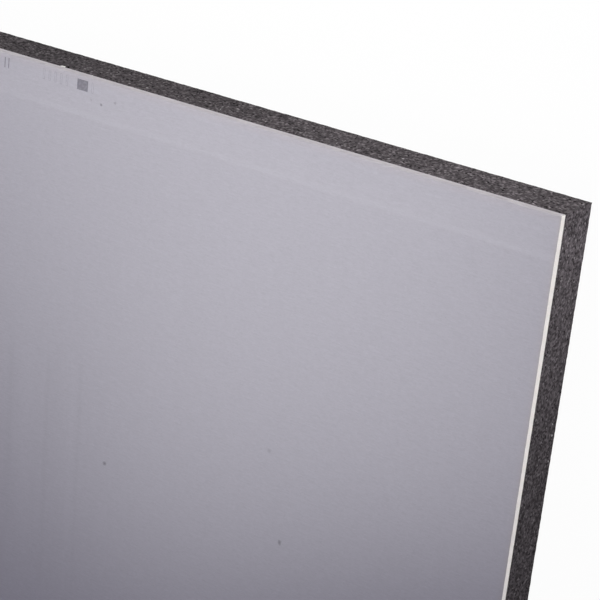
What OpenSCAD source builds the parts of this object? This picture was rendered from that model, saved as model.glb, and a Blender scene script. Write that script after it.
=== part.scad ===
// Insulated plasterboard panel: a paper-lined gypsum board with tapered long edges,
// bonded face to face to a grey foam insulation board.
// It lies flat on its foam, face up. X runs along the tapered long edges, Y across
// the panel and Z up. The origin is the middle of the underside.

/* [Panel] */
// Length along the tapered long edges
panel_l = 2600; // [600:10:3600]
// Width from long edge to long edge
panel_w = 1200; // [400:10:1250]

/* [Insulation board] */
// Thickness of the foam board
insulation_t = 60; // [20:5:160]

/* [Plasterboard] */
// Thickness over both paper liners
board_t = 9.5; // [8:0.5:18]
// Thickness of each paper liner
liner_t = 0.3; // [0.2:0.05:0.6]

/* [Tapered long edge] */
// Width of the band that slopes down to each long edge
taper_w = 50; // [40:1:80]
// Drop of that band from its crest to the long edge
taper_d = 1.2; // [0.6:0.1:2.5]
// Radius of the rolled front corner
front_r = 2.5; // [1.5:0.1:4]
// Radius of the fold at the back corner
fold_r = 1; // [0.8:0.1:1.5]

/* [Liner lap] */
// Width of the face liner that is folded in under the board
lap_w = 25; // [12:1:40]
// Distance from the long edge to the edge of the back liner
back_margin = 8; // [2:1:10]

/* [Hidden] */

// Straight strips in each rounded corner
arc_steps = 6;

half_w = panel_w / 2;
lap_y = half_w - lap_w;
crest_y = half_w - taper_w;

// Levels, from the back of the plasterboard to its face
back_z = insulation_t;
lap_z = back_z + liner_t;
face_z = back_z + board_t;

// Slope of the taper, and the centres of the two rounded corners
slope = atan(taper_d / taper_w);
front_centre = [half_w - front_r, face_z - front_r / cos(slope) - (taper_w - front_r) * tan(slope)];
fold_centre = [half_w - fold_r, lap_z + fold_r];

function arc(centre, r, from, to) = [
    for (i = [0 : arc_steps])
        let (a = from + (to - from) * i / arc_steps)
            centre + r * [cos(a), sin(a)]
];

function backwards(path) = [for (i = [len(path) - 1 : -1 : 0]) path[i]];

function mirrored(path) = [for (p = backwards(path)) [-p[0], p[1]]];

// One long edge in section, from the crest of its taper round to the end of the lap,
// at a depth inside the paper's outer surface
function edge_path(depth) = concat(
    [[crest_y - depth * tan(slope / 2), face_z - depth]],
    arc(front_centre, front_r - depth, 90 - slope, 0),
    arc(fold_centre, fold_r - depth, 0, -90),
    [[lap_y, lap_z + depth]]
);

// The whole wrap in section, from lap to lap over the face
function wrap_path(depth) = concat(mirrored(edge_path(depth)), edge_path(depth));

// Runs a section, drawn in Y and Z, along the length of the panel
module lengthwise() {
    rotate([90, 0, 90])
        linear_extrude(height = panel_l, center = true)
            children();
}

// Foam board, cut square on all edges
module insulation_board() {
    color("#59565a")
        lengthwise()
            translate([-half_w, 0])
                square([panel_w, insulation_t]);
}

// Paper on the back of the core, over the laps and short of the long edges
module back_liner() {
    color("#a8a097")
        lengthwise()
            translate([back_margin - half_w, back_z])
                square([panel_w - 2 * back_margin, liner_t]);
}

// Plaster between the liners, stepped at the back where the laps lie
module gypsum_core() {
    color("#e4e1df")
        lengthwise()
            polygon(concat(wrap_path(liner_t), [[lap_y, lap_z], [-lap_y, lap_z]]));
}

// Paper on the face, rolled round both long edges and folded in under the core
module face_liner() {
    color("#bbb9c1")
        lengthwise()
            polygon(concat(wrap_path(0), backwards(wrap_path(liner_t))));
}

insulation_board();
back_liner();
gypsum_core();
face_liner();
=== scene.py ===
import math

import bmesh
import bpy
import numpy as np
from mathutils import Matrix, Vector


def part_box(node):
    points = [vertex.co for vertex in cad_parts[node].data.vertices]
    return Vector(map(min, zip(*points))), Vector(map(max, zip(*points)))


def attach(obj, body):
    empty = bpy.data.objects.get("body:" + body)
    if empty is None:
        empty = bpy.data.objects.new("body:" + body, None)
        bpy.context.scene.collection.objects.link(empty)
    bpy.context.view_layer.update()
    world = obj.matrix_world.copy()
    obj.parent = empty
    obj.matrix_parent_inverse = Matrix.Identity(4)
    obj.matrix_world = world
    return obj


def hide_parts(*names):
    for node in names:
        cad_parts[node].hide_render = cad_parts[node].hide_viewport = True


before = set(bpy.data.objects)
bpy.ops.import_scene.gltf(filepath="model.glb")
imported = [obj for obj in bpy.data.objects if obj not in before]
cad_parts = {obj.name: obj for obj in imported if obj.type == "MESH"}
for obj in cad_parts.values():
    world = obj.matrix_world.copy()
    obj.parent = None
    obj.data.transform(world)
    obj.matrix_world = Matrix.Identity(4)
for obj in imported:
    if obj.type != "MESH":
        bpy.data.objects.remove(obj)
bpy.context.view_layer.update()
print("frame loaded:", ", ".join(sorted(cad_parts)))

mm = 0.001  # sizes below are written in millimetres
foamLow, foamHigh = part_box("insulation_board")
backLow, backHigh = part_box("back_liner")
halfLength = foamHigh.x
halfWidth = foamHigh.y
foamTop = foamHigh.z
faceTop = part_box("face_liner")[1].z
linerThick = backHigh.z - backLow.z

# the tapered long edge, as in the part
longEdge = {
    "taperWidth": 50 * mm,
    "taperDrop": 1.2 * mm,
    "steepWidth": 6 * mm,  # the paper rises faster just below the crest
    "steepShare": 3.0,
    "frontRadius": 2.5 * mm,
    "foldRadius": 1.0 * mm,
    "lapWidth": 25 * mm,
}

paperWaves = {  # how the face paper lies on the board
    "depth": 0.12 * mm,
    "mean": 0.65,  # this and the two swings are shares of the depth
    "along": (0.3, 73 * mm, 1.1, 190 * mm),  # swing, length, bend and length of the bend
    "across": (0.15, 96 * mm, 410 * mm),  # swing, length across and along
    "fade": (1 * mm, 9 * mm),  # flat again before the roll
}


# small helpers

def softNoise(places, step, seed):
    rng = np.random.default_rng(seed)
    at = np.asarray(places, float) / step
    at = at - at.min()
    values = rng.uniform(-1, 1, int(at.max()) + 3)
    low = np.floor(at).astype(int)
    part = at - low
    part = part * part * (3 - 2 * part)
    return values[low] * (1 - part) + values[low + 1] * part


def smoothStep(value, start, end):
    part = np.clip((value - start) / (end - start), 0, 1)
    return part * part * (3 - 2 * part)


def gridQuads(index):
    low, right = index[:-1, :-1], index[1:, :-1]
    far, left = index[1:, 1:], index[:-1, 1:]
    return np.stack([low, right, far, left], -1).reshape(-1, 4)


def addPiece(name, mesh, material):
    piece = bpy.data.objects.new(name, mesh)
    bpy.context.scene.collection.objects.link(piece)
    mesh.materials.append(material)
    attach(piece, "root")
    return piece


def makePiece(name, places, faces, material, sharpAngle=50):
    mesh = bpy.data.meshes.new(name)
    mesh.from_pydata(np.asarray(places, float).tolist(), [], faces)
    mesh.validate()
    mesh.shade_smooth()
    mesh.set_sharp_from_angle(angle=math.radians(sharpAngle))
    return addPiece(name, mesh, material)


def addValues(piece, name, values, domain="POINT"):
    layer = piece.data.attributes.new(name, "FLOAT", domain)
    layer.data.foreach_set("value", np.asarray(values, np.float32))


# the shared section: outer paper surface at depth 0, core surface one liner deeper

taperAngle = math.atan(longEdge["taperDrop"] / longEdge["taperWidth"])
crestY = halfWidth - longEdge["taperWidth"]
lapY = halfWidth - longEdge["lapWidth"]
lapZ = foamTop + linerThick
frontY = halfWidth - longEdge["frontRadius"]
frontZ = (faceTop - longEdge["frontRadius"] / math.cos(taperAngle)
          - (frontY - crestY) * math.tan(taperAngle))
foldY = halfWidth - longEdge["foldRadius"]
foldZ = lapZ + longEdge["foldRadius"]
rollY = frontY + longEdge["frontRadius"] * math.sin(taperAngle)  # the roll starts here
rollDrop = (rollY - crestY) * math.tan(taperAngle)
steepSlope = longEdge["steepShare"] * math.tan(taperAngle)
gentleSlope = ((rollDrop - steepSlope * longEdge["steepWidth"])
               / (rollY - crestY - longEdge["steepWidth"]))


def taperFall(y):
    run = np.clip(np.abs(y) - crestY, 0, rollY - crestY)
    steep = np.minimum(run, longEdge["steepWidth"])
    return steepSlope * steep + gentleSlope * (run - steep)


def topLevel(y, depth=0.0):
    y = np.abs(np.asarray(y, float))
    radius = longEdge["frontRadius"] - depth
    rolled = frontZ + np.sqrt(np.clip(radius ** 2 - (y - frontY) ** 2, 0, None))
    return np.where(y > rollY, rolled, faceTop - depth - taperFall(y))


def paperLevel(x, y):
    # the face as the paper lies on it, never above the board's own top
    x, y = np.asarray(x, float), np.asarray(y, float)
    swing, length, bend, bendLength = paperWaves["along"]
    crossSwing, crossLength, drift = paperWaves["across"]
    dip = (paperWaves["mean"] + swing * np.sin(x / length + bend * np.sin(y / bendLength))
           + crossSwing * np.sin(y / crossLength + x / drift))
    fade = smoothStep(rollY - np.abs(y), *paperWaves["fade"])
    return topLevel(y) - paperWaves["depth"] * dip * fade


def bottomLevel(y, depth):
    y = np.abs(np.asarray(y, float))
    radius = longEdge["foldRadius"] - depth
    folded = foldZ - np.sqrt(np.clip(radius ** 2 - (y - foldY) ** 2, 0, None))
    return np.where(y > foldY, folded, np.where(y > lapY, lapZ + depth, lapZ))


def arcPoints(y, z, radius, start, end, steps):
    turn = np.radians(np.linspace(start, end, steps + 1))
    return np.stack([y + radius * np.cos(turn), z + radius * np.sin(turn)], -1)


print("section ready: crest at", round(crestY / mm, 2), "mm from the middle")


# shader nodes

def feed(tree, socket, value):
    if isinstance(value, bpy.types.NodeSocket):
        tree.links.new(value, socket)
    else:
        socket.default_value = value


def addNode(tree, kind, inputs=None, **settings):
    node = tree.nodes.new(kind)
    for name, value in settings.items():
        setattr(node, name, value)
    for name, value in (inputs or {}).items():
        feed(tree, node.inputs[name], value)
    return node


def newGroup(name, inputs, outputs):
    tree = bpy.data.node_groups.new(name, "ShaderNodeTree")
    for socketName, kind, value in inputs:
        socket = tree.interface.new_socket(name=socketName, in_out="INPUT", socket_type=kind)
        if value is not None:
            socket.default_value = value
    for socketName, kind in outputs:
        tree.interface.new_socket(name=socketName, in_out="OUTPUT", socket_type=kind)
    return tree, tree.nodes.new("NodeGroupInput"), tree.nodes.new("NodeGroupOutput")


def useGroup(tree, group, inputs):
    return addNode(tree, "ShaderNodeGroup", inputs, node_tree=group)


def useTone(tree, group, place, scaleAndAmount):
    scale, amount = scaleAndAmount
    return useGroup(tree, group, {"Vector": place, "Scale": scale, "Amount": amount})


def math2(tree, operation, first, second):
    node = tree.nodes.new("ShaderNodeMath")
    node.operation = operation
    feed(tree, node.inputs[0], first)
    feed(tree, node.inputs[1], second)
    return node.outputs[0]


def mapRange(tree, value, fromLow, fromHigh, toLow, toHigh, smooth=False):
    node = addNode(tree, "ShaderNodeMapRange", {
        "Value": value, "From Min": fromLow, "From Max": fromHigh,
        "To Min": toLow, "To Max": toHigh,
    }, interpolation_type="SMOOTHSTEP" if smooth else "LINEAR")
    return node.outputs["Result"]


def mixColour(tree, factor, first, second, blend="MIX"):
    node = tree.nodes.new("ShaderNodeMix")
    node.data_type = "RGBA"
    node.blend_type = blend
    for index, value in ((0, factor), (6, first), (7, second)):  # the colour mix has A and B at 6 and 7
        feed(tree, node.inputs[index], value)
    return node.outputs[2]


def plainColour(tree, colour):
    node = tree.nodes.new("ShaderNodeRGB")
    node.outputs[0].default_value = colour
    return node.outputs[0]


def scaleColour(tree, colour, value):
    node = addNode(tree, "ShaderNodeVectorMath", {0: colour, "Scale": value}, operation="SCALE")
    return node.outputs[0]


def newMaterial(name, roughness, specular):
    material = bpy.data.materials.new(name)
    material.use_nodes = True
    tree = material.node_tree
    shader = tree.nodes["Principled BSDF"]
    shader.inputs["Roughness"].default_value = roughness
    shader.inputs["Specular IOR Level"].default_value = specular
    place = tree.nodes.new("ShaderNodeTexCoord").outputs["Object"]
    return material, tree, shader, place


def addBump(tree, shader, height, distance, strength=1.0):
    bump = addNode(tree, "ShaderNodeBump", {
        "Height": height, "Distance": distance, "Strength": strength})
    tree.links.new(bump.outputs[0], shader.inputs["Normal"])


def readValue(tree, name):
    return addNode(tree, "ShaderNodeAttribute", attribute_name=name).outputs["Fac"]


# groups that several finishes share

fibreLook = {  # fibres lie mostly along the sheet, so the noise is stretched that way
    "laid": (0.35, 1.0, 1.0),
    "drawn": (0.09, 1.0, 1.0),
    "bend": 1.2,
    "fineScale": 2.7,
    "shares": (0.5, 0.28, 0.22),  # laid, fine and drawn
}

beadLook = {
    "stops": (  # from sooty to white beads
        (0.0, (0.0085, 0.0074, 0.0079, 1)), (0.45, (0.063, 0.0556, 0.0602, 1)),
        (0.86, (0.167, 0.1495, 0.1605, 1)), (0.95, (0.24, 0.228, 0.234, 1)), (1.0, (0.62, 0.61, 0.62, 1)),
    ),
    "skinScale": 1500.0,
    "skinTone": (1.12, 0.86),
    "gapShadeTone": 0.46,  # painted shade in the deepest gaps
}


def softMottleGroup():
    tree, source, result = newGroup(
        "softMottle",
        [("Vector", "NodeSocketVector", None), ("Scale", "NodeSocketFloat", 10.0),
         ("Amount", "NodeSocketFloat", 0.02)],
        [("Tone", "NodeSocketFloat")])
    noise = addNode(tree, "ShaderNodeTexNoise", {
        "Vector": source.outputs["Vector"], "Scale": source.outputs["Scale"],
        "Detail": 3.0, "Roughness": 0.55})
    swing = math2(tree, "MULTIPLY", math2(tree, "SUBTRACT", noise.outputs["Fac"], 0.5),
                  source.outputs["Amount"])
    tree.links.new(math2(tree, "ADD", swing, 1.0), result.inputs["Tone"])
    return tree


def paperFibreGroup():
    tree, source, result = newGroup(
        "paperFibre",
        [("Vector", "NodeSocketVector", None), ("Scale", "NodeSocketFloat", 500.0),
         ("Amount", "NodeSocketFloat", 0.05)],
        [("Tone", "NodeSocketFloat"), ("Height", "NodeSocketFloat")])
    laid = addNode(tree, "ShaderNodeMapping", {
        "Vector": source.outputs["Vector"], "Scale": fibreLook["laid"]})
    warp = addNode(tree, "ShaderNodeTexNoise", {
        "Vector": laid.outputs[0], "Scale": source.outputs["Scale"],
        "Detail": 2.0, "Distortion": fibreLook["bend"]})
    fine = addNode(tree, "ShaderNodeTexNoise", {
        "Vector": source.outputs["Vector"],
        "Scale": math2(tree, "MULTIPLY", source.outputs["Scale"], fibreLook["fineScale"]),
        "Detail": 1.0})
    drawn = addNode(tree, "ShaderNodeMapping", {
        "Vector": source.outputs["Vector"], "Scale": fibreLook["drawn"]})
    long = addNode(tree, "ShaderNodeTexNoise", {
        "Vector": drawn.outputs[0], "Scale": source.outputs["Scale"], "Detail": 1.0})
    laidShare, fineShare, drawnShare = fibreLook["shares"]
    felt = math2(tree, "ADD", math2(tree, "MULTIPLY", warp.outputs["Fac"], laidShare),
                 math2(tree, "MULTIPLY", fine.outputs["Fac"], fineShare))
    felt = math2(tree, "ADD", felt, math2(tree, "MULTIPLY", long.outputs["Fac"], drawnShare))
    swing = math2(tree, "MULTIPLY", math2(tree, "SUBTRACT", felt, 0.5), source.outputs["Amount"])
    tree.links.new(math2(tree, "ADD", swing, 1.0), result.inputs["Tone"])
    tree.links.new(felt, result.inputs["Height"])
    return tree


def beadSkinGroup():
    tree, source, result = newGroup(
        "beadSkin",
        [("Vector", "NodeSocketVector", None), ("Tone", "NodeSocketFloat", 0.5),
         ("Gap", "NodeSocketFloat", 0.0)],
        [("Color", "NodeSocketColor"), ("Height", "NodeSocketFloat")])
    ramp = addNode(tree, "ShaderNodeValToRGB", {"Fac": source.outputs["Tone"]})
    stops = ramp.color_ramp.elements
    first, *between, last = beadLook["stops"]
    stops[0].position, stops[0].color = first
    stops[1].position, stops[1].color = last
    for position, colour in between:
        stops.new(position).color = colour
    cells = addNode(tree, "ShaderNodeTexVoronoi", {
        "Vector": source.outputs["Vector"], "Scale": beadLook["skinScale"]}, feature="F1")
    skin = mapRange(tree, cells.outputs["Distance"], 0.1, 0.8, *beadLook["skinTone"])
    # painted shade: seams and voids are painted darker the deeper they lie
    seamShade = mapRange(tree, source.outputs["Gap"], 0.25, 1.0, 1.0, beadLook["gapShadeTone"], smooth=True)
    tone = math2(tree, "MULTIPLY", skin, seamShade)
    tree.links.new(scaleColour(tree, ramp.outputs["Color"], tone), result.inputs["Color"])
    tree.links.new(cells.outputs["Distance"], result.inputs["Height"])
    return tree


softMottle = softMottleGroup()
paperFibre = paperFibreGroup()
beadSkin = beadSkinGroup()


# finishes

facePaperLook = {
    "colour": (0.500, 0.488, 0.535, 1),
    "rolledShadeColour": (0.295, 0.279, 0.293, 1),  # the wrapped edge is warmer, and painted darker as painted shade
    "warmColour": (0.500, 0.478, 0.518, 1),  # beside the roll and the cut ends
    "cutColour": (0.490, 0.464, 0.470, 1),  # a dustier band along the cut ends
    "cutBand": (0.2, 3.2),  # millimetres from the cut over which it fades
    "roughness": 0.86,
    "specular": 0.22,
    "fibre": (520.0, 0.43),  # scale and amount, as for the tones below
    "broad": (7.0, 0.022),
    "streaks": (1.0, 0.016),
    "streakStretch": (75.0, 1.6, 1.0),
    "warmRoll": (-9.0, -1.0),  # millimetres past the start of the roll
    "rolledShadeBand": (-0.8, 3.0),
    "warmEnd": (1.0, 10.0),  # millimetres from the cut
    "tornScale": 350.0,
    "creaseShades": ((2.6, 0.35), (5.4, 0.3)),  # middle and half width on the roll
    "creaseShadeTone": 0.965,
    "fibreDepth": 0.04 * mm,
}

crossStreaks = {  # faint darker and lighter streaks across the sheet
    "marks": (  # place along the sheet and half width in millimetres, change of tone
        (577, 10, -0.026), (639, 7, -0.034), (652, 14, -0.010), (692, 5, -0.026),
        (604, 22, 0.018), (680, 9, 0.018),
    ),
    "lean": 0.022,
    "middleY": 0.12,
    "nearEnd": (-0.16, 0.10),  # they fade in and out over these widths
    "farEnd": (0.20, 0.27),
}


def crossStreakTone(tree, place):
    spot = addNode(tree, "ShaderNodeSeparateXYZ", {"Vector": place})
    across = spot.outputs["Y"]
    past = math2(tree, "SUBTRACT", across, crossStreaks["middleY"])
    lean = math2(tree, "MULTIPLY", past, crossStreaks["lean"])
    along = math2(tree, "ADD", spot.outputs["X"], lean)
    change = 0.0
    for x, half, strength in crossStreaks["marks"]:
        away = math2(tree, "ABSOLUTE", math2(tree, "SUBTRACT", along, x * mm), 0.0)
        mark = mapRange(tree, away, 0.0, half * mm, strength, 0.0, smooth=True)
        change = math2(tree, "ADD", mark, change)
    reach = math2(tree, "MULTIPLY", mapRange(tree, across, *crossStreaks["nearEnd"], 0.0, 1.0, smooth=True),
                  mapRange(tree, across, *crossStreaks["farEnd"], 1.0, 0.0, smooth=True))
    return math2(tree, "ADD", math2(tree, "MULTIPLY", change, reach), 1.0)


def makeFacePaper():
    look = facePaperLook
    material, tree, shader, place = newMaterial("facePaper", look["roughness"], look["specular"])
    fibre = useTone(tree, paperFibre, place, look["fibre"])
    broad = useTone(tree, softMottle, place, look["broad"])
    across = addNode(tree, "ShaderNodeMapping", {"Vector": place, "Scale": look["streakStretch"]})
    streaks = useTone(tree, softMottle, across.outputs[0], look["streaks"])
    tone = math2(tree, "MULTIPLY", math2(tree, "MULTIPLY", fibre.outputs["Tone"],
                                         broad.outputs["Tone"]), streaks.outputs["Tone"])
    tone = math2(tree, "MULTIPLY", tone, crossStreakTone(tree, place))
    roll = readValue(tree, "rollDistance")
    end = readValue(tree, "cutDistance")
    warm = math2(tree, "MAXIMUM", mapRange(tree, roll, *look["warmRoll"], 0.0, 1.0, smooth=True),
                 mapRange(tree, end, *look["warmEnd"], 1.0, 0.0, smooth=True))
    colour = mixColour(tree, warm, look["colour"], look["warmColour"])
    # the roll's warmer tone is the paper's own; its darker tone is painted shade
    rolled = mapRange(tree, roll, *look["rolledShadeBand"], 0.0, 1.0, smooth=True)
    colour = mixColour(tree, rolled, colour, look["rolledShadeColour"])
    cut = mapRange(tree, end, *look["cutBand"], 1.0, 0.0, smooth=True)
    torn = addNode(tree, "ShaderNodeTexNoise", {
        "Vector": place, "Scale": look["tornScale"], "Detail": 2.0})
    worn = math2(tree, "MULTIPLY", cut, mapRange(tree, torn.outputs["Fac"], 0.3, 0.6, 0.35, 1.0))
    colour = mixColour(tree, worn, colour, look["cutColour"])
    # two faint lines of painted shade on the roll, for creases the mesh lacks
    creaseShades = []
    for middle, half in look["creaseShades"]:
        away = math2(tree, "ABSOLUTE", math2(tree, "SUBTRACT", roll, middle), 0.0)
        creaseShades.append(mapRange(tree, away, 0.0, half, look["creaseShadeTone"], 1.0))
    tone = math2(tree, "MULTIPLY", tone, math2(tree, "MULTIPLY", *creaseShades))
    tree.links.new(scaleColour(tree, colour, tone), shader.inputs["Base Color"])
    addBump(tree, shader, fibre.outputs["Height"], look["fibreDepth"], 0.6)
    return material


backPaperLook = {
    "colour": (0.36, 0.325, 0.285, 1),
    "roughness": 0.9,
    "specular": 0.2,
    "fibre": (380.0, 0.22),
    "broad": (5.0, 0.10),
    "fibreDepth": 0.06 * mm,
}


def makeBackPaper():
    look = backPaperLook
    material, tree, shader, place = newMaterial("backPaper", look["roughness"], look["specular"])
    fibre = useTone(tree, paperFibre, place, look["fibre"])
    broad = useTone(tree, softMottle, place, look["broad"])
    tone = math2(tree, "MULTIPLY", fibre.outputs["Tone"], broad.outputs["Tone"])
    colour = scaleColour(tree, plainColour(tree, look["colour"]), tone)
    tree.links.new(colour, shader.inputs["Base Color"])
    addBump(tree, shader, fibre.outputs["Height"], look["fibreDepth"])
    return material


gypsumLook = {
    "colour": (0.82, 0.795, 0.76, 1),
    "dustyColour": (0.545, 0.535, 0.51, 1),
    "roughness": 0.93,
    "specular": 0.25,
    "broad": (45.0, 0.10),
    "grain": (900.0, 0.16),
    "poreScale": 620.0,
    "poreShadeTone": 0.72,
    "poreDepth": 0.25 * mm,
}


def makeGypsum(name, plasterColour):
    look = gypsumLook
    material, tree, shader, place = newMaterial(name, look["roughness"], look["specular"])
    broad = useTone(tree, softMottle, place, look["broad"])
    grain = useTone(tree, softMottle, place, look["grain"])
    pores = addNode(tree, "ShaderNodeTexVoronoi", {
        "Vector": place, "Scale": look["poreScale"]}, feature="F1")
    # pores are painted darker: painted shade in them
    pit = mapRange(tree, pores.outputs["Distance"], 0.10, 0.26, look["poreShadeTone"], 1.0, smooth=True)
    tone = math2(tree, "MULTIPLY", math2(tree, "MULTIPLY", broad.outputs["Tone"],
                                         grain.outputs["Tone"]), pit)
    colour = scaleColour(tree, plainColour(tree, plasterColour), tone)
    tree.links.new(colour, shader.inputs["Base Color"])
    pitted = math2(tree, "MULTIPLY", pit, grain.outputs["Tone"])
    addBump(tree, shader, pitted, look["poreDepth"])
    return material


foamLook = {
    "roughness": 0.8,
    "specular": 0.04,
    "edgeBroad": (30.0, 0.35),
    "paintedLightAlong": (0.50, 1.15, 0.80, 1.20),  # painted light: the foam edges are painted paler towards the corners
    "paintedLightAcross": (0.25, 0.60, 0.55, 0.97),
    "edgeSkinDepth": 0.12 * mm,
    "backBeadScale": 330.0,
    "backSeam": 0.12,
    "backTone": (0.12, 0.82),
    "backBroad": (6.0, 0.25),
    "backBevel": 0.2,
    "backSeamDepth": 0.35 * mm,
}


def makeFoamEdge():
    look = foamLook
    material, tree, shader, place = newMaterial("cutBeadFoam", look["roughness"], look["specular"])
    broad = useTone(tree, softMottle, place, look["edgeBroad"])
    spot = addNode(tree, "ShaderNodeSeparateXYZ", {
        "Vector": addNode(tree, "ShaderNodeVectorMath", {0: place}, operation="ABSOLUTE").outputs[0]})
    # painted light: the foam tone rises towards the corners, where more light falls
    paintedLight = math2(tree, "MULTIPLY",
                   mapRange(tree, spot.outputs["X"], *look["paintedLightAlong"], smooth=True),
                   mapRange(tree, spot.outputs["Y"], *look["paintedLightAcross"], smooth=True))
    skin = useGroup(tree, beadSkin, {
        "Vector": place, "Tone": readValue(tree, "beadTone"), "Gap": readValue(tree, "beadGapShade")})
    tone = math2(tree, "MULTIPLY", broad.outputs["Tone"], paintedLight)
    tree.links.new(scaleColour(tree, skin.outputs["Color"], tone), shader.inputs["Base Color"])
    addBump(tree, shader, skin.outputs["Height"], look["edgeSkinDepth"])
    return material


def makeFoamBack():
    look = foamLook
    material, tree, shader, place = newMaterial("flatBeadFoam", look["roughness"], look["specular"])
    laidOut = {"Vector": place, "Scale": look["backBeadScale"]}
    beads = addNode(tree, "ShaderNodeTexVoronoi", laidOut, feature="F1")
    edges = addNode(tree, "ShaderNodeTexVoronoi", laidOut, feature="DISTANCE_TO_EDGE")
    # painted shade along the bead seams on the back
    gapShade = mapRange(tree, edges.outputs["Distance"], 0.0, look["backSeam"], 1.0, 0.0)
    pick = addNode(tree, "ShaderNodeSeparateColor", {"Color": beads.outputs["Color"]})
    tone = mapRange(tree, pick.outputs[0], 0.0, 1.0, *look["backTone"])
    broad = useTone(tree, softMottle, place, look["backBroad"])
    skin = useGroup(tree, beadSkin, {"Vector": place, "Tone": tone, "Gap": gapShade})
    colour = scaleColour(tree, skin.outputs["Color"], broad.outputs["Tone"])
    tree.links.new(colour, shader.inputs["Base Color"])
    bevel = mapRange(tree, edges.outputs["Distance"], 0.0, look["backBevel"], 0.0, 1.0)
    addBump(tree, shader, bevel, look["backSeamDepth"])
    return material


inkLook = {
    "stamp": ((0.235, 0.228, 0.262, 1), 0.2),  # colour and share that is missing
    "line": ((0.335, 0.325, 0.375, 1), 0.6),
    "roughness": 0.8,
    "specular": 0.2,
    "wearScale": 420.0,
    "wearRange": (0.42, 0.62),
}


def makeInk(name, colour, missing):
    look = inkLook
    material, tree, shader, place = newMaterial(name, look["roughness"], look["specular"])
    worn = addNode(tree, "ShaderNodeTexNoise", {
        "Vector": place, "Scale": look["wearScale"], "Detail": 3.0})
    bare = mapRange(tree, worn.outputs["Fac"], *look["wearRange"], 0.0, missing)
    mixed = mixColour(tree, bare, colour, facePaperLook["colour"])
    tree.links.new(mixed, shader.inputs["Base Color"])
    return material


fleckLook = {
    "colour": (0.13, 0.12, 0.14, 1),
    "roughness": 0.85,
    "specular": 0.2,
    "broad": (900.0, 0.3),
}


def makeFleck():
    look = fleckLook
    material, tree, shader, place = newMaterial("paperFleck", look["roughness"], look["specular"])
    broad = useTone(tree, softMottle, place, look["broad"])
    dark = readValue(tree, "fleckTone")
    colour = mixColour(tree, dark, facePaperLook["colour"], look["colour"])
    tree.links.new(scaleColour(tree, colour, broad.outputs["Tone"]), shader.inputs["Base Color"])
    return material


facePaper = makeFacePaper()
backPaper = makeBackPaper()
setGypsum = makeGypsum("setGypsum", gypsumLook["colour"])
dustyGypsum = makeGypsum("dustyGypsum", gypsumLook["dustyColour"])
cutBeadFoam = makeFoamEdge()
flatBeadFoam = makeFoamBack()
stampInk = makeInk("stampInk", *inkLook["stamp"])
lineInk = makeInk("lineInk", *inkLook["line"])
paperFleck = makeFleck()
print("finishes ready:", len(bpy.data.materials), "materials")


# foam board: a block under four edges of cut beads

foamEdges = {
    "beadPitch": 2.8 * mm,
    "skinThick": 3.0 * mm,
    "jitter": 0.24,  # share of the spacing
    "beadSink": 0.22 * mm,
    "seamDepth": (0.22 * mm, 0.55 * mm),
    "voidDepth": (0.8 * mm, 1.7 * mm),
    "voidShare": 0.22,
    "tornShare": 0.05,
    "tornDepth": (0.6, 1.2),  # millimetres
    "wave": (0.12 * mm, 37 * mm, 2.0, 210 * mm),  # depth, length, bend and length of the bend
    "tone": 0.35,
    "toneSpread": 0.17,
    "toneRange": (0.02, 0.90),
    "whiteShare": 0.0012,
    "whiteTone": (0.88, 0.95),
    "shownWhite": 0.985,
    "hiddenTone": 0.3,
    "paintedEndLight": 0.205,  # painted light: the sawn ends are painted paler than the long edges
    "fullShadeDepth": 0.9 * mm,  # seams of this depth get the full painted shade
    "leastGapShade": 0.25,
    "tornGapShade": 0.55,
    "arrisWear": (0.05 * mm, 0.42 * mm),
    "arrisStep": 4 * mm,
    "seed": 41,
}


def cornerWear(levels, seed):
    low, high = foamEdges["arrisWear"]
    wear = softNoise(levels, foamEdges["arrisStep"], seed) * 0.5 + 0.5
    return low + (high - low) * wear


def beadRows(length, height):
    side = foamEdges["beadPitch"] / math.sqrt(3)
    columns = round(length / side)
    rows = round(height / (side * math.sqrt(3) / 2))
    along, up, kind, border, starts = [], [], [], [], [0]
    for row in range(rows + 1):
        if row % 2 == 0:
            steps = np.arange(columns + 1, dtype=float)
        else:
            steps = np.r_[0, np.arange(columns) + 0.5, columns]
        lattice = np.round(steps - 0.5 * row).astype(int) - row
        bead = lattice % 3 == 0
        ends = np.zeros(len(steps), int)
        ends[0], ends[-1] = 1, 2
        if row % 2:
            bead[[0, -1]] = False
        along.append(steps * length / columns)
        up.append(np.full(len(steps), height * row / rows))
        kind.append(bead)
        border.append(ends)
        starts.append(starts[-1] + len(steps))
    faces = []
    k = np.arange(columns)
    kAll = np.arange(columns + 1)
    for row in range(rows):
        lower, upper = starts[row], starts[row + 1]
        if row % 2 == 0:
            faces.append(np.stack([lower + k, lower + k + 1, upper + k + 1], -1))
            faces.append(np.stack([lower + kAll, upper + kAll + 1, upper + kAll], -1))
        else:
            faces.append(np.stack([lower + kAll, lower + kAll + 1, upper + kAll], -1))
            faces.append(np.stack([upper + k, lower + k + 1, upper + k + 1], -1))
    parts = [np.concatenate(x) for x in (along, up, kind, border)]
    return *parts, np.concatenate(faces), starts


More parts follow.
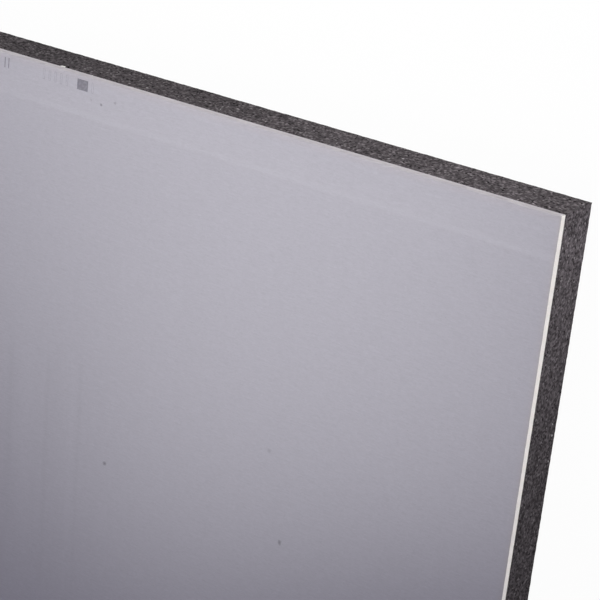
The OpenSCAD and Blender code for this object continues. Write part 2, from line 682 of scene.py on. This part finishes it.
def makeBeadEdge(name, length, outward, seed, cornerSeeds, paintedLift, chips=(), whites=()):
    rng = np.random.default_rng(seed)
    height = foamTop - foamLow.z
    along, up, bead, ends, faces, starts = beadRows(length, height)
    count = len(along)
    spacing = foamEdges["beadPitch"] / math.sqrt(3)
    edgeRow = (up < 1e-9) | (up > height - 1e-9)
    inside = ends == 0
    shake = rng.uniform(-1, 1, (count, 2)) * foamEdges["jitter"] * spacing
    along = along + np.where(inside, shake[:, 0], 0)
    up = up + np.where(inside & ~edgeRow, shake[:, 1], 0)
    # beads stand proud, seams lie deeper, and some junctions are open voids
    sink = rng.uniform(0, foamEdges["beadSink"], count)
    torn = rng.random(count) < foamEdges["tornShare"]
    sink = np.where(torn, rng.uniform(*foamEdges["tornDepth"], count) * mm, sink)
    seam = rng.uniform(*foamEdges["seamDepth"], count)
    hollow = rng.random(count) < foamEdges["voidShare"]
    seam = np.where(hollow, rng.uniform(*foamEdges["voidDepth"], count), seam)
    depth = np.where(bead, sink, seam)
    waveDepth, waveLength, bend, bendLength = foamEdges["wave"]
    depth = depth + waveDepth * (0.5 + 0.5 * np.sin(along / waveLength + bend * np.sin(along / bendLength)))
    depth = np.where(edgeRow, cornerWear(along, seed + 1), depth)
    pit = np.zeros(count)
    # chip pits are painted dark: painted shade in them
    for place, level, radius, deep, pitShade in chips:
        away = np.hypot(along - place, up - level) / radius
        bowl = np.clip(1 - away ** 2, 0, None)
        pit = np.maximum(pit, bowl * pitShade)
        depth = np.maximum(depth, deep * np.minimum(1, 2 * bowl))
    for side, at, inwards in ((1, 0.0, 1), (2, length, -1)):
        onEnd = ends == side
        wear = cornerWear(up[onEnd], cornerSeeds[side - 1])
        depth[onEnd] = wear
        along[onEnd] = at + inwards * wear
    # the skin is closed at the back, mitred at its upright ends
    back = foamEdges["skinThick"]
    along = np.r_[along, back, length - back, length - back, back]
    up = np.r_[up, 0, 0, height, height]
    depth = np.r_[depth, [back] * 4]
    b = [count + i for i in range(4)]
    firstRow = np.arange(starts[0], starts[1])
    lastRow = np.arange(starts[-2], starts[-1])
    leftSide = np.array(starts[:-1])
    rightSide = np.array(starts[1:]) - 1
    rims = [
        [b[0], b[1], *firstRow[::-1].tolist()],
        [b[2], b[3], *lastRow.tolist()],
        [b[3], b[0], *leftSide.tolist()],
        [b[1], b[2], *rightSide[::-1].tolist()],
        [b[3], b[2], b[1], b[0]],
    ]
    outward = Vector(outward)
    run = Vector((0, 0, 1)).cross(outward)  # the way that length runs, seen from outside
    reach = halfWidth if abs(outward.y) > 0.5 else halfLength
    start = outward * reach - run * length / 2 + Vector((0, 0, foamLow.z))
    places = (np.array(start) + along[:, None] * np.array(run) + up[:, None] * np.array((0, 0, 1))
              - depth[:, None] * np.array(outward))
    piece = makePiece(name, places, faces.tolist() + rims, cutBeadFoam, 65)
    # the end pieces get a painted lift in tone, painted light
    tone = rng.normal(foamEdges["tone"] + paintedLift, foamEdges["toneSpread"], count)
    tone = np.clip(tone, *foamEdges["toneRange"])
    white = rng.random(count) < foamEdges["whiteShare"]
    tone = np.where(white, rng.uniform(*foamEdges["whiteTone"], count), tone)
    for place, level in whites:
        away = np.hypot(along[:count] - place, up[:count] - level)
        tone[np.argmin(np.where(bead, away, np.inf))] = foamEdges["shownWhite"]
    owner = faces[np.arange(len(faces)), np.argmax(bead[faces], 1)]
    addValues(piece, "beadTone", np.r_[tone[owner], [foamEdges["hiddenTone"]] * len(rims)], "FACE")
    # painted shade in seams, voids, torn beads and chips, by their depth
    gapShade = np.where(bead, 0.0, np.clip(depth[:count] / foamEdges["fullShadeDepth"], foamEdges["leastGapShade"], 1.0))
    gapShade = np.where(bead & torn, foamEdges["tornGapShade"], gapShade)
    gapShade = np.where(pit > 0.3, 1.0, gapShade)
    addValues(piece, "beadGapShade", np.r_[gapShade, [1.0] * 4])
    print(name, "made:", len(faces), "bead facets")


foamBlock = {
    "step": 12 * mm,
    "wave": 0.15 * mm,  # hot-wire waviness on the back
    "waveAlong": (61 * mm, 1.3, 170 * mm),  # length, bend and length of the bend
    "waveAcross": 43 * mm,
}


def makeFoamBlock():
    inset = foamEdges["skinThick"]
    xs = np.linspace(-halfLength + inset, halfLength - inset, round(2 * halfLength / foamBlock["step"]))
    ys = np.linspace(-halfWidth + inset, halfWidth - inset, round(2 * halfWidth / foamBlock["step"]))
    x, y = np.meshgrid(xs, ys, indexing="ij")
    length, bend, bendLength = foamBlock["waveAlong"]
    wave = (0.5 + 0.25 * np.sin(x / length + bend * np.sin(y / bendLength))
            + 0.25 * np.sin(y / foamBlock["waveAcross"]))
    z = foamLow.z + foamBlock["wave"] * wave
    z[[0, -1], :] = foamLow.z
    z[:, [0, -1]] = foamLow.z
    under = np.stack([x, y, z], -1).reshape(-1, 3)
    index = np.arange(len(under)).reshape(x.shape)
    top = len(under)
    corners = [(xs[0], ys[0], foamTop), (xs[-1], ys[0], foamTop),
               (xs[-1], ys[-1], foamTop), (xs[0], ys[-1], foamTop)]
    faces = gridQuads(index)[:, ::-1].tolist()
    faces += [
        [top, top + 1, top + 2, top + 3],
        [top + 1, top, *index[:, 0].tolist()],
        [top + 2, top + 1, *index[-1, :].tolist()],
        [top + 3, top + 2, *index[::-1, -1].tolist()],
        [top, top + 3, *index[0, ::-1].tolist()],
    ]
    piece = makePiece("foam_block", np.r_[under, corners], faces, flatBeadFoam)
    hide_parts("insulation_board")
    print("foam_block made:", len(faces), "faces")


shownSpots = {  # in millimetres
    "chips": (  # on the far edge: x, distance below the foam's top, radius, depth and painted shade
        (622.5, 1.5, 5.0, 1.1, 0), (628.4, 2.4, 3.1, 2.6, 1), (671.8, 0.6, 2.2, 1.8, 1),
    ),
    "whiteBeads": ((347.5, 8.3), (331.2, 5.5), (300.9, 4.5)),  # on the right end: y and z
}

edgeHeight = foamTop - foamLow.z
farChips = [(halfLength - x * mm, edgeHeight - below * mm, radius * mm, deep * mm, pitShade)
            for x, below, radius, deep, pitShade in shownSpots["chips"]]
endWhites = [(halfWidth + y * mm, z * mm) for y, z in shownSpots["whiteBeads"]]
seed, paintedEndLight = foamEdges["seed"], foamEdges["paintedEndLight"]
makeFoamBlock()
makeBeadEdge("foam_edge_far", 2 * halfLength, (0, 1, 0), seed, (3, 4), 0.0, chips=farChips)
makeBeadEdge("foam_edge_near", 2 * halfLength, (0, -1, 0), seed + 10, (5, 6), 0.0)
makeBeadEdge("foam_end_right", 2 * halfWidth, (1, 0, 0), seed + 20, (6, 3), paintedEndLight, whites=endWhites)
makeBeadEdge("foam_end_left", 2 * halfWidth, (-1, 0, 0), seed + 30, (4, 5), paintedEndLight)


# gypsum core: rough where the saw has cut it

coreLook = {
    "acrossStep": 1.6 * mm,
    "taperColumns": 34,
    "rollColumns": 9,
    "lapStep": 0.01 * mm,  # the two columns that make the step at the lap
    "levels": 8,
    "roughness": 0.22 * mm,
    "chipDepth": 0.7 * mm,
    "chipLength": 3.5 * mm,
    "chipFloor": 0.35,  # of the noise, so that only its peaks are chips
    "chipPower": 6,  # keeps the chips close under the paper
    "seed": 77,
}


def coreColumns():
    edge = halfWidth - linerThick
    flat = np.linspace(0, crestY, round(crestY / coreLook["acrossStep"]))
    taper = np.linspace(crestY, rollY, coreLook["taperColumns"])[1:]
    turn = np.linspace(0, math.pi / 2, coreLook["rollColumns"])[1:]
    rolled = rollY + (edge - rollY) * np.sin(turn)
    step = coreLook["lapStep"]
    half = np.unique(np.r_[flat, taper, rolled, lapY - step, lapY + step])
    return np.r_[-half[:0:-1], half]


def makeCore():
    rng = np.random.default_rng(coreLook["seed"])
    y = coreColumns()
    top, bottom = topLevel(y, linerThick), bottomLevel(y, linerThick)
    share = np.linspace(0, 1, coreLook["levels"] + 1)
    z = bottom[:, None] + (top - bottom)[:, None] * share
    shape = z.shape
    places, loops, faces = [], [], []
    for side in (1, -1):
        rough = coreLook["roughness"] * rng.random(shape)
        peaks = softNoise(y, coreLook["chipLength"], coreLook["seed"] + side) - coreLook["chipFloor"]
        chips = np.clip(peaks, 0, None)
        rough += coreLook["chipDepth"] * chips[:, None] * share ** coreLook["chipPower"]
        x = side * (halfLength - rough)
        index = len(places) * shape[0] * shape[1] + np.arange(shape[0] * shape[1]).reshape(shape)
        places.append(np.stack([x, np.broadcast_to(y[:, None], shape), z], -1).reshape(-1, 3))
        loops.append(np.r_[index[:, 0], index[-1, 1:], index[-2::-1, -1], index[0, -2:0:-1]])
        quads = gridQuads(index)
        faces += (quads if side > 0 else quads[:, ::-1]).tolist()
    here, there = loops
    around = np.stack([here, np.roll(here, -1), np.roll(there, -1), there], -1)
    faces += around[:, ::-1].tolist()
    piece = makePiece("core", np.concatenate(places), faces, setGypsum)
    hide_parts("gypsum_core")
    print("core made:", len(faces), "faces")


makeCore()


# face paper: one sheet rolled round both long edges, cut ragged at the ends

paperSheet = {
    "acrossStep": 2.5 * mm,
    "alongStep": 60 * mm,
    "endSteps": (0, 0.4 * mm, 1.0 * mm, 2.0 * mm, 4.0 * mm, 8.0 * mm, 18.0 * mm),
    "steepColumns": 7,
    "gentleColumns": 18,
    "frontSteps": 9,
    "uprightSteps": 4,
    "foldSteps": 6,
    "rag": 0.32 * mm,
    "ragShares": (0.5, 0.35, 0.15),  # mean, short and long swings
    "ragSteps": (1.3, 4.0),  # columns to a swing
    "cornerScuff": 0.45 * mm,  # worn back from the right end, most at the far corner
    "scuffRun": 300 * mm,
    "scuffSwing": (0.12, 11 * mm),  # share and length
    "leftScuff": 0.6 * mm,  # the same on the left end, at the near corner
    "leftRun": 160 * mm,
    "rollSetback": 0.12 * mm,
    "rollFrom": (2.5, 6.0),  # millimetres round the roll, where the end gets clean
    "seed": 19,
}


def sheetPath(depth):
    flat = np.linspace(0, crestY, round(crestY / paperSheet["acrossStep"]) + 1)
    steepEnd = crestY + longEdge["steepWidth"]
    steep = np.linspace(crestY, steepEnd, paperSheet["steepColumns"])[1:]
    gentle = np.linspace(steepEnd, rollY, paperSheet["gentleColumns"])[1:-1]
    y = np.r_[flat, steep, gentle]
    front = arcPoints(frontY, frontZ, longEdge["frontRadius"] - depth,
                      90 - math.degrees(taperAngle), 0, paperSheet["frontSteps"])
    levels = np.linspace(frontZ, foldZ, paperSheet["uprightSteps"] + 1)[1:-1]
    upright = np.stack([np.full(len(levels), halfWidth - depth), levels], -1)
    fold = arcPoints(foldY, foldZ, longEdge["foldRadius"] - depth, 0, -90, paperSheet["foldSteps"])
    right = np.r_[np.stack([y, faceTop - depth - taperFall(y)], -1), front, upright, fold,
                  [(lapY, lapZ + depth)]]
    left = right[:0:-1] * (-1, 1)
    return np.r_[left, right], len(y)


def rollDistances(path, flatCount):
    # path length past the start of the roll, in millimetres, below zero on the face
    half = len(path) // 2
    right = path[half:]
    run = np.r_[0, np.cumsum(np.hypot(*np.diff(right, axis=0).T))]
    run = (run - run[flatCount]) / mm
    return np.r_[run[:0:-1], run]


def endSetback(y, roll, side, seed):
    columns = np.arange(len(y))
    mean, short, long = paperSheet["ragShares"]
    shortStep, longStep = paperSheet["ragSteps"]
    rag = paperSheet["rag"] * (mean + short * softNoise(columns, shortStep, seed)
                               + long * softNoise(columns, longStep, seed + 1))
    if side > 0:
        fade = np.clip(1 - (halfWidth - y) / paperSheet["scuffRun"], 0, 1)
        swing, length = paperSheet["scuffSwing"]
        worn = paperSheet["cornerScuff"] * fade * (1 + swing * softNoise(y, length, seed + 2))
    else:
        worn = paperSheet["leftScuff"] * np.clip(1 - (halfWidth + y) / paperSheet["leftRun"], 0, 1)
    onRoll = smoothStep(roll, *paperSheet["rollFrom"])
    return (rag + worn) * (1 - onRoll) + paperSheet["rollSetback"] * onRoll


def makeSheet():
    outer, flatCount = sheetPath(0.0)
    inner, _ = sheetPath(linerThick)
    roll = rollDistances(outer, flatCount)
    ends = np.array(paperSheet["endSteps"])
    middle = np.linspace(halfLength - ends[-1], -halfLength + ends[-1],
                         round(2 * halfLength / paperSheet["alongStep"]))[1:-1]
    far = halfLength - ends
    base = np.r_[far, middle, -far[::-1]]
    right = endSetback(outer[:, 0], roll, 1, paperSheet["seed"])
    left = endSetback(outer[:, 0], roll, -1, paperSheet["seed"] + 5)
    reach = ends[-2]
    pullRight = np.clip(1 - (halfLength - base) / reach, 0, 1)
    pullLeft = np.clip(1 - (halfLength + base) / reach, 0, 1)
    x = base[None, :] - right[:, None] * pullRight + left[:, None] * pullLeft
    shape = x.shape
    y = np.broadcast_to(outer[:, :1], shape)
    zOuter = outer[:, 1:] + (paperLevel(x, y) - topLevel(y)) * (roll < 0)[:, None]
    top = np.stack([x, y, zOuter], -1).reshape(-1, 3)
    under = np.stack([x, np.broadcast_to(inner[:, :1], shape),
                      np.broadcast_to(inner[:, 1:], shape)], -1).reshape(-1, 3)
    first = np.arange(len(top)).reshape(shape)
    second = first + len(top)
    faces = gridQuads(first).tolist() + gridQuads(second)[:, ::-1].tolist()
    rims = [(first[:, 0], second[:, 0]), (second[:, -1], first[:, -1]),
            (second[0], first[0]), (first[-1], second[-1])]
    for a, b in rims:
        faces += np.stack([a[:-1], b[:-1], b[1:], a[1:]], -1).tolist()
    piece = makePiece("face_sheet", np.r_[top, under], faces, facePaper, 60)
    cut = np.minimum(halfLength - base, halfLength + base) / mm
    rollAll = np.broadcast_to(roll[:, None], shape).ravel()
    cutAll = np.broadcast_to(cut[None, :], shape).ravel()
    addValues(piece, "rollDistance", np.r_[rollAll, rollAll])
    addValues(piece, "cutDistance", np.r_[cutAll, cutAll * 0])
    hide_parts("face_liner")
    print("face_sheet made:", len(faces), "faces")


makeSheet()
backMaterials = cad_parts["back_liner"].data.materials
backMaterials.clear()
backMaterials.append(backPaper)


# flecks in the paper: the ones that show, and a scatter over the rest

flecks = {
    "shown": (  # x, y, length, width, darkness
        (736.8, 117.1, 7.5, 6.6, 0.69), (977.3, 220.4, 7.2, 6.2, 0.25), (1004.9, 109.5, 7.6, 6.7, 0.62),
        (692.8, 570.6, 5.4, 4.6, 0.78), (713.0, 577.6, 5.2, 4.3, 0.44), (677.3, 572.9, 3.4, 3.0, 0.30),
    ),
    "count": 260,
    "reach": (1280, 545),  # the scatter goes this far from the middle
    "size": (0.35, 1.0),
    "widthShare": (0.4, 0.9),
    "darkness": 0.85,
    "rimShare": 0.3,  # they fade into the paper at the rim
    "lift": 0.02 * mm,
    "rimLift": 0.4,
    "sides": 9,
    "ragged": (0.7, 1.15),
    "seed": 5,
}


def makeFlecks():
    rng = np.random.default_rng(flecks["seed"])
    spots = list(flecks["shown"])
    reachX, reachY = flecks["reach"]
    for _ in range(flecks["count"]):
        long = rng.uniform(*flecks["size"])
        x, y = rng.uniform(-reachX, reachX), rng.uniform(-reachY, reachY)
        spots.append((x, y, long, long * rng.uniform(*flecks["widthShare"]), flecks["darkness"]))
    places, faces, tones = [], [], []
    sides = flecks["sides"]
    turn = np.linspace(0, 2 * math.pi, sides, endpoint=False)
    for x, y, long, wide, dark in spots:
        reach = rng.uniform(*flecks["ragged"], sides)
        lean = rng.uniform(0, math.pi)
        u, v = long / 2 * reach * np.cos(turn), wide / 2 * reach * np.sin(turn)
        px = (x + u * math.cos(lean) - v * math.sin(lean)) * mm
        py = (y + u * math.sin(lean) + v * math.cos(lean)) * mm
        start = len(places)
        ring = np.stack([px, py, paperLevel(px, py) + flecks["lift"] * flecks["rimLift"]], -1)
        hubZ = float(paperLevel(x * mm, y * mm)) + flecks["lift"]
        places += ring.tolist() + [(x * mm, y * mm, hubZ)]
        tones += [dark * flecks["rimShare"]] * sides + [dark]
        hub = start + sides
        faces += [(start + i, start + (i + 1) % sides, hub) for i in range(sides)]
        faces.append(tuple(range(start + sides - 1, start - 1, -1)))
    print("paper_flecks made:", len(spots))
    piece = makePiece("paper_flecks", places, faces, paperFleck, 80)
    addValues(piece, "fleckTone", tones)


makeFlecks()


# plain edge marks: slim outlined bars and one solid patch

edgeMarks = {  # in millimetres
    "y": 581.0,
    "height": 13.0,
    "bars": (601.0, 610.0, 619.0, 628.0, 637.0, 676.5),
    "barWidth": 3.2,
    "line": 0.55,
    "patch": (654.5, 671.0),
    "strokes": (539.5, 545.5),
    "strokeWidth": 1.4,
    "rows": 7,
    "lift": 0.02 * mm,
    "sink": 0.04 * mm,
}


def layStrip(places, faces, first, second, closed):
    # two rows of points on the paper become one thin closed strip between them
    count = len(first)
    start = len(places)
    for lift in (edgeMarks["lift"], -edgeMarks["sink"]):
        for x, y in (*first, *second):
            places.append((x * mm, y * mm, float(paperLevel(x * mm, y * mm)) + lift))
    f, s = start, start + count
    lowF, lowS = f + 2 * count, s + 2 * count
    for i in range(count if closed else count - 1):
        j = (i + 1) % count
        faces.append((f + i, s + i, s + j, f + j))
        faces.append((lowF + j, lowS + j, lowS + i, lowF + i))
        faces.append((f + j, lowF + j, lowF + i, f + i))
        faces.append((s + i, lowS + i, lowS + j, s + j))
    if not closed:
        last = count - 1
        faces.append((f, lowF, lowS, s))
        faces.append((s + last, lowS + last, lowF + last, f + last))


def barOutline(left, right, low, high):
    up = np.linspace(low, high, edgeMarks["rows"])
    return [(right, y) for y in up] + [(left, y) for y in up[::-1]]


def makeEdgeMarks():
    low, high = edgeMarks["y"], edgeMarks["y"] + edgeMarks["height"]
    line = edgeMarks["line"]
    places, faces = [], []
    for left in edgeMarks["bars"]:
        right = left + edgeMarks["barWidth"]
        inner = barOutline(left + line, right - line, low + line, high - line)
        layStrip(places, faces, inner, barOutline(left, right, low, high), True)
    makePiece("edge_bars", places, faces, lineInk)
    strokes = [(x, x + edgeMarks["strokeWidth"]) for x in edgeMarks["strokes"]]
    up = np.linspace(low, high, edgeMarks["rows"])
    places, faces = [], []
    for left, right in (edgeMarks["patch"], *strokes):
        layStrip(places, faces, [(left, y) for y in up], [(right, y) for y in up], False)
    makePiece("edge_patch", places, faces, stampInk)
    print("edge marks made:", len(edgeMarks["bars"]), "bars")


makeEdgeMarks()


# crumbs of gypsum caught on the long edge

crumbs = {
    "spots": (  # in millimetres: x, distance below the foam's top, length, thickness and height
        (622.5, 1.4, 7.0, 1.3, 6.6), (669.8, 0.2, 2.2, 0.8, 1.6),
    ),
    "inset": 0.72 * mm,
    "thinEnd": 0.45,  # share of the height
    "rough": 0.10,
    "seed": 8,
}


def makeCrumbs():
    rng = np.random.default_rng(crumbs["seed"])
    build = bmesh.new()
    thin = crumbs["thinEnd"]
    middleY = halfWidth - crumbs["inset"]
    for spot in crumbs["spots"]:
        x, below, long, thick, high = (value * mm for value in spot)
        for v in bmesh.ops.create_icosphere(build, subdivisions=3, radius=0.5)["verts"]:
            p = v.co.copy()
            wedge = thin + (1 - thin) * (0.5 + p.x)
            rough = 1 + rng.uniform(-crumbs["rough"], crumbs["rough"])
            v.co = Vector((x + p.x * long * rough, middleY + p.y * thick * rough,
                           foamTop - below + p.z * high * wedge * rough))
    mesh = bpy.data.meshes.new("edge_crumbs")
    build.to_mesh(mesh)
    build.free()
    addPiece("edge_crumbs", mesh, dustyGypsum)
    print("edge_crumbs made:", len(crumbs["spots"]))


makeCrumbs()


# camera, light and floor

cameraView = {
    "place": (2.1191, 1.2292, 1.8454),
    "forward": (-0.49805, -0.36095, -0.78845),
    "up": (-0.28237, 0.92720, -0.24610),
    "lens": 119.88,
    "sensor": 36.0,
}


def makeCamera():
    data = bpy.data.cameras.new("camera")
    data.lens = cameraView["lens"]
    data.sensor_width = cameraView["sensor"]
    back = -Vector(cameraView["forward"]).normalized()
    up = Vector(cameraView["up"])
    right = up.cross(back).normalized()
    up = back.cross(right)
    turn = Matrix((right, up, back)).transposed().to_4x4()
    camera = bpy.data.objects.new("camera", data)
    camera.matrix_world = Matrix.Translation(cameraView["place"]) @ turn
    bpy.context.scene.collection.objects.link(camera)
    bpy.context.scene.camera = camera


softBoxes = {  # place, turn, size, spread, power, colour
    "window": ((-0.09, 1.988, 0.599), (-0.859, 0.0, 0.046), (3.80, 0.522), 1.422, 23.6, (1.0, 1.0, 0.968)),
    "key": ((1.041, 0.314, 0.766), (0.896, 0.031, 0.485), (0.86, 1.034), 2.23, 2.93, (1.0, 1.0, 0.968)),
    "left": ((-0.62, -0.17, 1.40), (0.0, 0.0, 0.0), (1.55, 0.86), 0.96, 1.15, (1.0, 1.0, 0.96)),
    "right": ((0.88, -0.50, 0.80), (0.0, 0.0, 0.39), (1.90, 0.56), 0.52, 0.42, (1.0, 1.0, 0.96)),
    "side_strip": ((2.14, 0.48, 0.074), (math.pi / 2, 0.0, math.radians(86)), (0.9, 0.11), math.pi, 3.2,
                   (1.0, 0.985, 0.97)),
    "far_strip": ((1.20, 1.44, 0.074), (math.pi / 2, 0.0, math.pi), (0.6, 0.11), 1.6, 0.42,
                  (1.0, 1.0, 0.96)),
    "left_strip": ((-2.14, 0.0, 0.074), (math.pi / 2, 0.0, -math.pi / 2), (1.2, 0.11), math.pi, 6.0,
                   (1.0, 1.0, 0.96)),
    "near_strip": ((0.0, -1.44, 0.074), (math.pi / 2, 0.0, 0.0), (2.6, 0.11), math.pi, 11.0,
                   (1.0, 1.0, 0.96)),
}


def makeBox(name, place, turn, size, spread, power, colour):
    lamp = bpy.data.lights.new(name, "AREA")
    lamp.shape = "RECTANGLE"
    lamp.size, lamp.size_y = size
    lamp.energy = power
    lamp.color = colour
    lamp.spread = spread
    box = bpy.data.objects.new(name, lamp)
    box.location = place
    box.rotation_euler = turn
    box.visible_camera = False
    bpy.context.scene.collection.objects.link(box)


room = {
    "zenith": (0.089, 0.083, 0.139, 1),
    "horizon": (0.95, 0.935, 0.92, 1),
    "floor": (0.90, 0.90, 0.90, 1),
    "floorSize": 80.0,
    "floorDrop": 0.2 * mm,
    "floorMottle": (3.0, 0.02),
    "rise": (0.10, 0.45),  # from the horizon to the zenith
    "glow": 0.965,  # how much of the floor's white is its own, for what looks straight at it
}


def seenDirectly(tree):
    path = tree.nodes.new("ShaderNodeLightPath")
    seen = math2(tree, "MAXIMUM", path.outputs["Is Camera Ray"], path.outputs["Is Glossy Ray"])
    return math2(tree, "MAXIMUM", seen, path.outputs["Is Transmission Ray"])


def makeWorld():
    world = bpy.data.worlds.new("studio")
    world.use_nodes = True
    tree = world.node_tree
    place = tree.nodes.new("ShaderNodeTexCoord").outputs["Generated"]
    rise = addNode(tree, "ShaderNodeSeparateXYZ", {"Vector": place}).outputs["Z"]
    lift = mapRange(tree, rise, *room["rise"], 0.0, 1.0, smooth=True)
    light = mixColour(tree, lift, room["horizon"], room["zenith"])
    shown = mixColour(tree, seenDirectly(tree), light, (1, 1, 1, 1))
    tree.links.new(shown, tree.nodes["Background"].inputs["Color"])
    bpy.context.scene.world = world


def makeFloor():
    half = room["floorSize"] / 2
    mesh = bpy.data.meshes.new("floor")
    mesh.from_pydata([(-half, -half, 0), (half, -half, 0), (half, half, 0), (-half, half, 0)], [],
                     [(0, 1, 2, 3)])
    material = bpy.data.materials.new("paleFloor")
    material.use_nodes = True
    tree = material.node_tree
    tree.nodes.clear()
    speck = tree.nodes.new("ShaderNodeTexCoord").outputs["Object"]
    tone = useTone(tree, softMottle, speck, room["floorMottle"])
    white = plainColour(tree, room["floor"])
    plain = addNode(tree, "ShaderNodeBsdfDiffuse", {
        "Color": scaleColour(tree, white, tone.outputs["Tone"])})
    glow = addNode(tree, "ShaderNodeEmission", {"Color": (1, 1, 1, 1), "Strength": 1.0})
    blend = tree.nodes.new("ShaderNodeMixShader")
    tree.links.new(math2(tree, "MULTIPLY", seenDirectly(tree), room["glow"]), blend.inputs[0])
    tree.links.new(plain.outputs[0], blend.inputs[1])
    tree.links.new(glow.outputs[0], blend.inputs[2])
    result = tree.nodes.new("ShaderNodeOutputMaterial")
    tree.links.new(blend.outputs[0], result.inputs["Surface"])
    mesh.materials.append(material)
    floor = bpy.data.objects.new("floor", mesh)
    floor.location.z = foamLow.z - room["floorDrop"]
    bpy.context.scene.collection.objects.link(floor)


makeCamera()
for name, values in softBoxes.items():
    makeBox(name, *values)
makeWorld()
makeFloor()
bpy.context.scene.view_settings.view_transform = "Standard"
print("camera, lights and floor ready")
